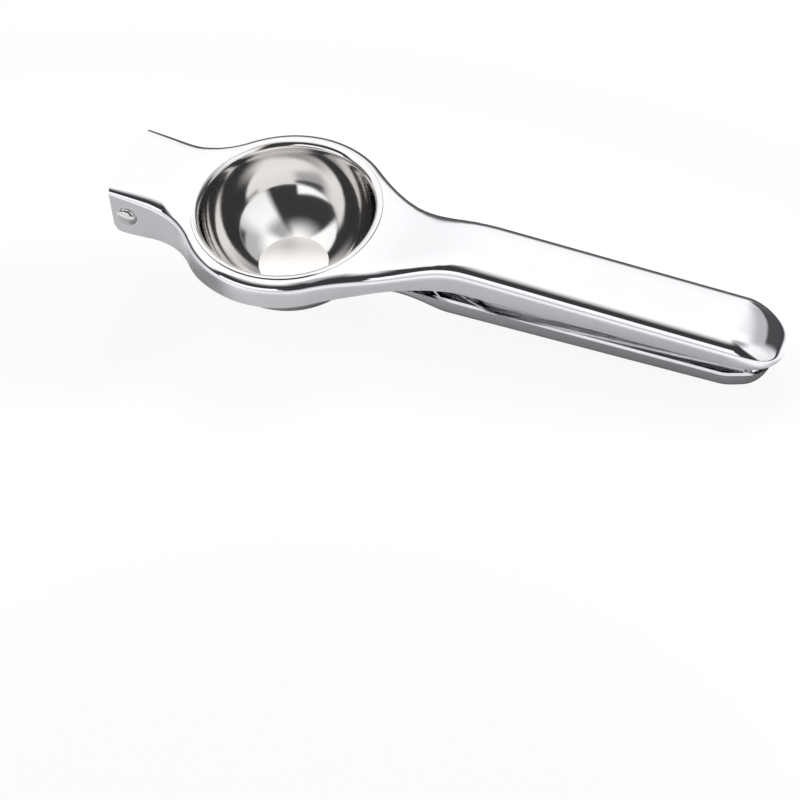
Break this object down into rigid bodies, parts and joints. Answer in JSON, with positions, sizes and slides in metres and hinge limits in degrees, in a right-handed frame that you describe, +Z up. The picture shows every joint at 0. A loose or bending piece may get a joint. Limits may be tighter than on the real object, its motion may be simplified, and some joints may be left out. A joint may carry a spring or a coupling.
{
  "type": "lemon squeezer",
  "caption": "Hinged hand squeezer of pressed sheet: a press bowl on the upper lever closes into a perforated strainer cup on the lower lever.",
  "frame": {"origin": "centre of the bounding box in plan, on the table that the closed squeezer lies on", "axes": "+X from the hinge towards the handle ends, +Y across the levers, +Z up"},
  "size_m": [0.2128, 0.0648, 0.0398],
  "materials": {
    "lever_steel": "mirror-polished stainless steel",
    "cup_steel": "mirror-polished stainless steel",
    "rivet_steel": "polished stainless steel"
  },
  "bodies": {
    "strainer_lever": {"strainer_arm": "lever_steel", "strainer_cup": "cup_steel"},
    "press_lever": {"press_arm": "lever_steel", "press_bowl": "cup_steel", "hinge_rivet": "rivet_steel"}
  },
  "joints": [
    {"name": "squeeze_hinge", "type": "hinge", "parent": "strainer_lever", "child": "press_lever", "pos_m": [-0.10033, 0, 0.02922], "axis": [0, -1, 0], "range_deg": [0, 100]}
  ]
}
